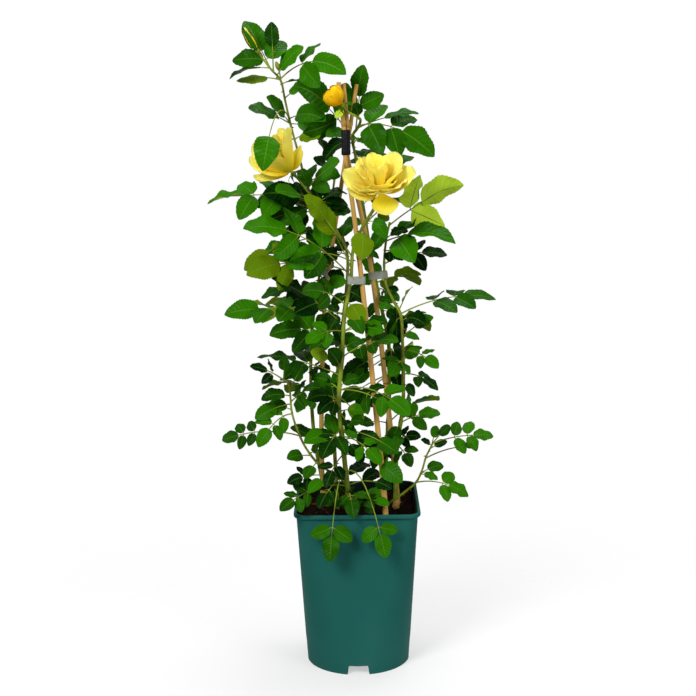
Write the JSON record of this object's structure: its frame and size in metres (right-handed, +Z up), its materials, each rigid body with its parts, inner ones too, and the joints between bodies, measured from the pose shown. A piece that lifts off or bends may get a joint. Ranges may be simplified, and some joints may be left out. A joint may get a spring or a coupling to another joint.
{
  "type": "potted climbing rose",
  "caption": "Climbing rose with yellow blooms, buds and compound leaves in a deep green nursery pot of soil, tied to bamboo canes gathered under a black band.",
  "frame": {"origin": "middle of the pot's foot, on the surface that it stands on", "axes": "+Z up, -Y towards the viewer of the picture, +X to the viewer's right"},
  "size_m": [0.4201, 0.2406, 0.9552],
  "materials": {
    "pot_plastic": "dark blue-green moulded polypropylene with a low satin sheen",
    "soil": "dark moist bark compost, crumbly and matt",
    "bamboo": "dry tan cane with darker knots and fine lengthwise grain",
    "tie_tape": "thin pale grey-green tying tape, satin",
    "black_tape": "black wound tape, satin",
    "foliage": "glossy green leaflets with paler matt undersides, on yellow-green stems",
    "yellow_petal": "soft lemon to golden petals, matt and slightly translucent",
    "orange_petal": "apricot bud petals, matt"
  },
  "bodies": {
    "root": {"pot": "pot_plastic", "soil": "soil", "cane_left": "bamboo", "cane_middle": "bamboo", "cane_right": "bamboo", "cane_band": "black_tape", "tie_left": "tie_tape", "tie_middle": "tie_tape", "tie_right": "tie_tape", "stem_front": "foliage", "stem_left": "foliage", "stem_right": "foliage", "stem_back": "foliage", "stem_back_left": "foliage", "shoot_left": "foliage", "shoot_right": "foliage", "bloom_left": "yellow_petal", "bloom_right": "yellow_petal", "bud_small": "yellow_petal", "bud_orange": "orange_petal"}
  },
  "joints": []
}
